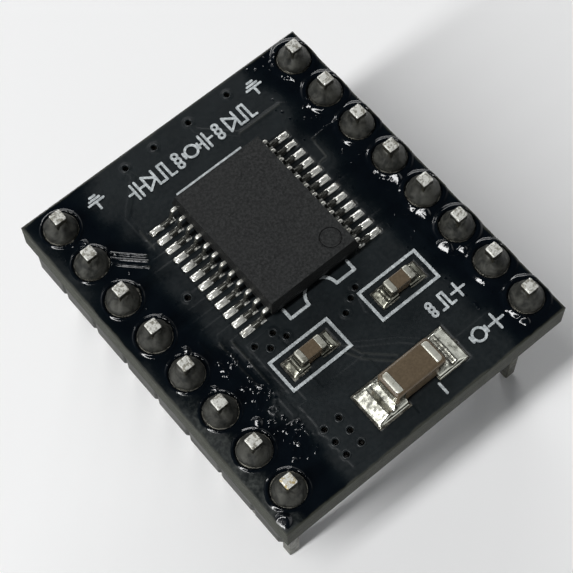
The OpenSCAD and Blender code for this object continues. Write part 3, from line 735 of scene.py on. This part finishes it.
def skin_part(name, x, y, height, values, under, drills):
    """One half of the skin, cut open over the drilled holes and closed down to the core at its rim."""
    grid = np.dstack([x, y, height]).reshape(-1, 3)
    quads, border = grid_faces(*x.shape)
    centre = grid[quads].mean(axis=1)[:, :2]
    clear = np.ones(len(quads), bool)
    for spot in drills:
        clear &= np.hypot(*(centre - spot).T) > VIA_R
    points, skirt, _ = skirted(grid, border, under)
    seam = x[0, -1] if name.endswith("left") else x[0, 0]
    skirt = skirt[~(np.abs(grid[skirt[:, [0, 3]], 0] - seam) < 1e-6).all(axis=1)]
    made = piece(name, points, np.vstack([quads[clear], skirt]).tolist(), MASK, "solder_mask", ["mask_top"])
    colours = np.tile(np.array((0, 0, 0.8, 1.0)), (len(points), 1))
    colours[:len(grid)] = values.reshape(-1, 4)
    coat = made.data.color_attributes.new("coat", "FLOAT_COLOR", "POINT")
    coat.data.foreach_set("color", colours.ravel().astype(np.float32))


def board_skin(drills):
    """The upper mask over pads and tracks, with flux, dust, a worn rim and a painted highlight along the
    raised track edges, as two halves.
    """
    low, high = box_mm("mask_top")
    across = np.linspace(low[0], high[0], int(round((high[0] - low[0]) / CELL)) + 1)
    along = np.linspace(low[1], high[1], int(round((high[1] - low[1]) / CELL)) + 1)
    x, y = np.meshgrid(across, along)
    level = mask_levels(x * 0.9995, y * 0.9995)  # a little inwards, so that the rim's rays hit
    is_open = np.isnan(level)
    level = np.where(is_open, PAD_TOP - PIT, level)
    level = 0.45 * level + 0.55 * blur(level)
    covered = blur((~is_open).astype(float), 2)

    rng = np.random.RandomState(5)
    film, wetted = flux_pools(x, y, rng)
    drops = heaps(x, y, droplets(rng), bead_rise)
    mounds = [(*(PIN_PLACES[key] + (dx, dy)), r, h) for key, dx, dy, r, h in MOUNDS]
    film = np.maximum(film, blur(heaps(x, y, mounds, mound_rise)))
    ridges = ridge_lines(x, y)

    # dust along the outer left edge beside the front joints, kept off the thick flux
    dust = step(GRID[1] - y, 1.6, 3.4) * (1 - step(x, low[0] + 0.75, low[0] + 1.35))
    dust = dust * (1 - step(film, 0.004, 0.02)) * (0.75 + 0.25 * cloud(x, y, 2.0, 83))
    dust = dust * (1 - step(drops, 0.004, 0.02))
    edge = np.minimum.reduce([x - low[0], high[0] - x, y - low[1], high[1] - y])
    rim = (1 - step(edge + 0.04 * cloud(x, y, 1.5, 91), 0.03, 0.13)) * 0.75
    # The raised track edges take the rim colour as a painted highlight along them.
    rim = np.maximum(rim, np.clip(ridges / 0.05, 0, 1) * 0.7 * (1 - wetted))

    ripple = 0.003 * cloud(x, y, 1.6, 97) * wetted
    height = level + (film + creases(x, y) + ripple) * step(covered, 0.4, 1.0)
    height = height + (drops + ridges) * (covered > 0.6) - 0.02 * (1 - step(edge, 0.0, 0.07))
    height = np.maximum(height, np.where(covered > 0.3, low[2] + 0.02, low[2] + 0.005))

    wet = np.clip(np.maximum(wetted, step(film + drops, 0.004, 0.02)), 0, 1)
    values = np.dstack([wet, np.clip(dust, 0, 1), np.clip(rim, 0, 1), np.ones(x.shape)])
    half = len(across) // 2
    for name, part in (("board_skin_left", slice(None, half + 1)), ("board_skin_right", slice(half, None))):
        skin_part(name, x[:, part], y[:, part], height[:, part], values[:, part], low[2], drills)


def via_rims(drills):
    """A small rounded lip of mask round each plated hole, turned a little way down into it."""
    profile = ((0.250, 0.000), (0.235, 0.010), (0.210, 0.017), (0.185, 0.014), (0.165, 0.000),
               (0.155, -0.030), (0.152, -0.120))
    around = 28
    faces = ring_faces(len(profile), around, capped=False)
    parts = []
    for cx, cy in drills:
        points = [(cx + r * math.cos(a), cy + r * math.sin(a), MASK_TOP + z)
                  for r, z in profile for a in turns(around)]
        parts.append((points, faces))
    piece("via_rims", *join(parts), MASK, "solder_mask")


holes = drilled_places()
board_skin(holes)
via_rims(holes)

# --- driver leads and their solder ---------------------------------------------------------


def rounded_path(corners, radius, steps=5):
    """A line through 2-D corners with an arc at each inner one."""
    corners = [np.array(c, float) for c in corners]
    out = [corners[0]]
    for a, b, c in zip(corners, corners[1:], corners[2:]):
        u, v = (a - b) / np.linalg.norm(a - b), (c - b) / np.linalg.norm(c - b)
        cut = radius * math.tan((math.pi - math.acos(np.clip(u @ v, -1, 1))) / 2)
        cut = min(cut, 0.48 * np.linalg.norm(a - b), 0.48 * np.linalg.norm(c - b))
        for s in np.linspace(0, 1, steps):
            out.append((1 - s) ** 2 * (b + u * cut) + 2 * s * (1 - s) * b + s ** 2 * (b + v * cut))
    out.append(corners[-1])
    return np.array(out)


def bar_along(path, wide, thick, corner):
    """A bar of rounded rectangular section swept along a path in the x-z plane."""
    section = []
    for cx, cy, start in ((1, 1, 0), (-1, 1, 90), (-1, -1, 180), (1, -1, 270)):
        for a in (0, 45, 90):
            angle = math.radians(start + a)
            section.append((cx * (wide / 2 - corner) + corner * math.cos(angle),
                            cy * (thick / 2 - corner) + corner * math.sin(angle)))
    points = []
    for n, p in enumerate(path):
        ahead = path[min(n + 1, len(path) - 1)] - path[max(n - 1, 0)]
        ahead = ahead / np.linalg.norm(ahead)
        normal = np.array((-ahead[1], ahead[0]))
        points += [(p[0] + normal[0] * b, a, p[1] + normal[1] * b) for a, b in section]
    return np.array(points), ring_faces(len(path), len(section))


LEADS = 12  # in each row
LEAD_W, LEAD_T = 0.22, 0.15  # width and thickness of one lead
LEAD_PITCH = (LEAD_HIGH[1] - LEAD_LOW[1] - LEAD_W) / (LEADS - 1)
PAD_HALF = 0.18  # half the width of a lead's pad
TOE_START = LEAD_TIP - 0.09  # where the bright pool past the lead's tip begins


def lead_shape():
    """One lead of the right row: out of the body, down a slope, and along its pad."""
    low, high = LEAD_LOW[2] + LEAD_T / 2, LEAD_HIGH[2] - LEAD_T / 2
    corners = ((BODY_SIDE - 0.3, high), (BODY_SIDE + 0.235, high), (LEAD_TIP - 0.6, low), (LEAD_TIP, low))
    return bar_along(rounded_path(corners, 0.13), LEAD_W, LEAD_T, 0.07)


def toe_height(seed):
    """Solder on one pad: fillets beside the foot and a bright rounded pool past its tip."""
    rng = np.random.RandomState(seed)
    full = rng.uniform(0.85, 1.15)
    skew = rng.uniform(-0.15, 0.15)

    def height(x, y):
        across = np.clip(np.abs(y) / PAD_HALF, 0, 1)
        beside = np.clip((np.abs(y) - LEAD_W / 2) / (PAD_HALF - LEAD_W / 2), 0, 1)
        fillet = 0.07 * (1 - beside) ** 1.6
        middle_x, half = (TOE_START + PAD_END) / 2, (PAD_END - TOE_START) / 2
        off = ((x - middle_x - skew * y) / half) ** 2 + across ** 2
        pillow = 0.175 * full * np.clip(1 - off ** 1.3, 0, None) ** 0.55
        heel = ((x - PAD_START - 0.2) / 0.14) ** 2 + (across * 1.15) ** 2
        bead = 0.20 * np.clip(1 - heel, 0, None) ** 0.5
        under = np.where((x < LEAD_TIP) & (x > PAD_START + 0.1), fillet, 0.012)
        rim = np.clip(np.minimum((PAD_END - x) / 0.03, (1 - across) / 0.1), 0, 1)
        return np.clip(np.maximum(np.maximum(under, bead), pillow) * rim, 0, None)

    return height


shape, shape_faces = lead_shape()
for side, sign in SIDES:
    bars, pools = [], []
    for k in range(LEADS):
        y = CHIP[1] + ((LEADS - 1) / 2 - k) * LEAD_PITCH
        bars.append((shape * (sign, 1, 1) + (CHIP[0], y, 0), shape_faces))
        points, faces = heap(np.linspace(PAD_START, PAD_END, 40), np.linspace(-PAD_HALF, PAD_HALF, 15),
                             toe_height(k + 40 * (sign + 2)))
        pools.append((points * (sign, 1, 1) + (CHIP[0], y, PAD_TOP), faces))
    piece(f"leads_{side}", *join(bars), LEAD, "tinned_lead", [f"driver_leads_{side}"])
    piece(f"lead_joints_{side}", *join(pools), TOE, "bright_solder", [f"driver_solder_{side}"])

# --- capacitors -----------------------------------------------------------------------------


def soft_block(size, radii):
    """A block round the origin with rounded edges and corners, its points crowded to its edges."""
    bm = bmesh.new()
    bmesh.ops.create_cube(bm, size=2.0)
    bmesh.ops.subdivide_edges(bm, edges=bm.edges, cuts=22, use_grid_fill=True)
    half, radii = np.array(size) / 2, np.array(radii)
    for v in bm.verts:
        spot = np.array([math.copysign(abs(c) ** 0.55, c) for c in v.co]) * half
        core = np.clip(spot, -(half - radii), half - radii)
        off = (spot - core) / radii
        length = np.linalg.norm(off)
        if length > 1e-9:
            off = off / length * abs(off).max()
        v.co = Vector(core + off * radii)
    return bm


def from_bmesh(bm, place):
    """Points and faces of a bmesh moved to its place; the bmesh is freed."""
    bm.verts.index_update()
    points = np.array([v.co for v in bm.verts]) + place
    faces = [tuple(v.index for v in f.verts) for f in bm.faces]
    bm.free()
    return points, faces


def cap_end(size, radii, cut, sign, place):
    """One metal end: the rounded block, kept only past a cut across it."""
    bm = soft_block(size, radii)
    geometry = bm.verts[:] + bm.edges[:] + bm.faces[:]
    done = bmesh.ops.bisect_plane(bm, geom=geometry, plane_co=(sign * cut, 0, 0), plane_no=(-sign, 0, 0),
                                  clear_outer=True)
    edges = [e for e in done["geom_cut"] if isinstance(e, bmesh.types.BMEdge)]
    bmesh.ops.holes_fill(bm, edges=edges)
    return from_bmesh(bm, place)


def pad_solder(outer, half, cap_half, tall, seed):
    """Height of the solder over one capacitor pad, with x growing away from the part.

    The pad ends at outer and is twice half wide, and the solder climbs to tall at the part.
    """
    reach = outer - cap_half[0]

    def height(x, y):
        out = np.clip(outer - x, 0, None)
        near = np.minimum(out, 0.52 * reach)
        flank = 0.56 * near - 0.14 * near ** 2 / reach
        side = np.clip((half - np.abs(y)) / (0.16 * half + 0.04), 0, 1)
        rise = (flank + 0.03 * np.clip(out / 0.04, 0, 1)) * np.sqrt(np.clip(1 - (1 - side) ** 2, 0, 1))
        dip = 1 - 0.45 * step(out, 0.50 * reach, 0.80 * reach)
        off = np.hypot(np.clip(x - cap_half[0], 0, None), np.clip(np.abs(y) - cap_half[1] + 0.1, 0, None))
        climb = tall * np.exp(-off / (0.06 + 0.10 * reach)) * np.clip(side * 3, 0, 1)
        wave = 0.014 * rough_field(x, y, 1.3, seed) * np.clip(side * 2, 0, 1) * np.clip(out / 0.1, 0, 1)
        return np.clip((rise * dip + wave) + climb, 0, None)

    return height


def capacitor(name, end_length, rounding, tall, seed, end_metal, solder_metal):
    """A chip capacitor on its two pads: ceramic body, metal ends and solder."""
    low, high = box_mm(f"{name}_ends")
    size, place = high - low, (low + high) / 2
    solder_low, solder_high = box_mm(f"{name}_solder")
    outer, half = ((solder_high - solder_low) / 2)[:2]
    inner = size[0] / 2 - end_length - 0.08
    ends, joints = [], []
    for sign in (-1, 1):
        ends.append(cap_end(size, rounding, size[0] / 2 - end_length, sign, place))
        field = pad_solder(outer, half, size[:2] / 2, tall, seed + 2 * sign)
        points, faces = heap(np.linspace(inner, outer, 46), np.linspace(-half, half, 46), field)
        joints.append((points * (sign, 1, 1) + (place[0], place[1], PAD_TOP), faces))
    body = soft_block(size - 0.05, np.array(rounding) * 0.55)
    piece(f"{name}_ceramic", *from_bmesh(body, place), CERAMIC, "capacitor_ceramic", [f"{name}_body"])
    piece(f"{name}_metal_ends", *join(ends), end_metal, "tinned_end", [f"{name}_ends"])
    piece(f"{name}_joints", *join(joints), solder_metal, "bright_solder", [f"{name}_solder"])


capacitor("small_cap_1", 0.36, (0.13, 0.13, 0.12), 0.30, 61, END_DULL, PAD_DULL)
capacitor("small_cap_2", 0.36, (0.13, 0.13, 0.12), 0.28, 67, END_DULL, PAD_DULL)
capacitor("large_cap", 0.52, (0.30, 0.34, 0.26), 0.24, 73, END, PAD_SOLDER)

# --- floor, light and camera ------------------------------------------------------------------


def plain_floor():
    """A pale square floor, so large in metres that its edges stay out of view."""
    mesh = bpy.data.meshes.new("floor")
    reach = 3.0
    mesh.from_pydata([(-reach, -reach, 0), (reach, -reach, 0), (reach, reach, 0), (-reach, reach, 0)], [],
                     [(0, 1, 2, 3)])
    g = Graph("pale_floor")
    mesh.materials.append(g.finish(Base_Color=(0.95, 0.95, 0.95), Roughness=0.9))
    made = bpy.data.objects.new("floor", mesh)
    bpy.context.scene.collection.objects.link(made)


def soft_light(name, direction, distance, size, power):
    """A rectangular light in metres and watts, seen from the origin in one direction."""
    light = bpy.data.lights.new(name, "AREA")
    light.shape = "RECTANGLE"
    light.size, light.size_y = size
    light.energy = power
    made = bpy.data.objects.new(name, light)
    toward = Vector(direction).normalized()
    made.location = toward * distance
    made.rotation_euler = toward.to_track_quat("Z", "Y").to_euler()
    bpy.context.scene.collection.objects.link(made)


def sky():
    """Bright near the horizon and dark overhead, so flat glossy faces stay dark."""
    world = bpy.data.worlds.new("studio")
    bpy.context.scene.world = world
    world.use_nodes = True
    tree = world.node_tree
    split = tree.nodes.new("ShaderNodeSeparateXYZ")
    tree.links.new(tree.nodes.new("ShaderNodeTexCoord").outputs["Generated"], split.inputs[0])
    ramp = tree.nodes.new("ShaderNodeMapRange")
    ramp.interpolation_type = "SMOOTHSTEP"
    for key, value in (("From Min", 0.0), ("From Max", 0.62), ("To Min", 1.25), ("To Max", 0.02)):
        ramp.inputs[key].default_value = value
    tree.links.new(split.outputs["Z"], ramp.inputs["Value"])
    tree.links.new(ramp.outputs["Result"], tree.nodes["Background"].inputs["Strength"])
    tree.nodes["Background"].inputs["Color"].default_value = (0.96, 0.98, 1.0, 1)


CAM_AZIMUTH, CAM_ELEVATION, CAM_ROLL = -38.11, 66.14, -2.0  # degrees
CAM_DISTANCE, CAM_LENS = 86.36, 110.05
CAM_TARGET = (-1.02, -0.84)  # from the pin grid's middle, on the mask


def camera():
    """The camera, looking down at the board over its front left corner."""
    data = bpy.data.cameras.new("camera")
    data.lens = CAM_LENS
    data.sensor_width = 36.0
    data.clip_start, data.clip_end = 0.005, 5.0
    made = bpy.data.objects.new("camera", data)
    a, e = math.radians(CAM_AZIMUTH), math.radians(CAM_ELEVATION)
    back = Vector((math.sin(a) * math.cos(e), -math.cos(a) * math.cos(e), math.sin(e)))
    right = Vector((math.cos(a), math.sin(a), 0))
    roll = Matrix.Rotation(math.radians(CAM_ROLL), 3, "Z")
    turn = Matrix((right, back.cross(right), back)).transposed() @ roll
    target = Vector((GRID[0] + CAM_TARGET[0], GRID[1] + CAM_TARGET[1], MASK_TOP))
    made.matrix_world = Matrix.Translation((target + back * CAM_DISTANCE) * MM) @ turn.to_4x4()
    bpy.context.scene.collection.objects.link(made)
    bpy.context.scene.camera = made


plain_floor()
sky()
soft_light("left_window", (-0.62, 0.02, 0.70), 0.45, (0.045, 0.52), 2.0)
soft_light("rear_window", (0.30, 0.85, 0.42), 0.48, (0.46, 0.05), 0.9)
camera()
bpy.context.scene.view_settings.view_transform = "Standard"
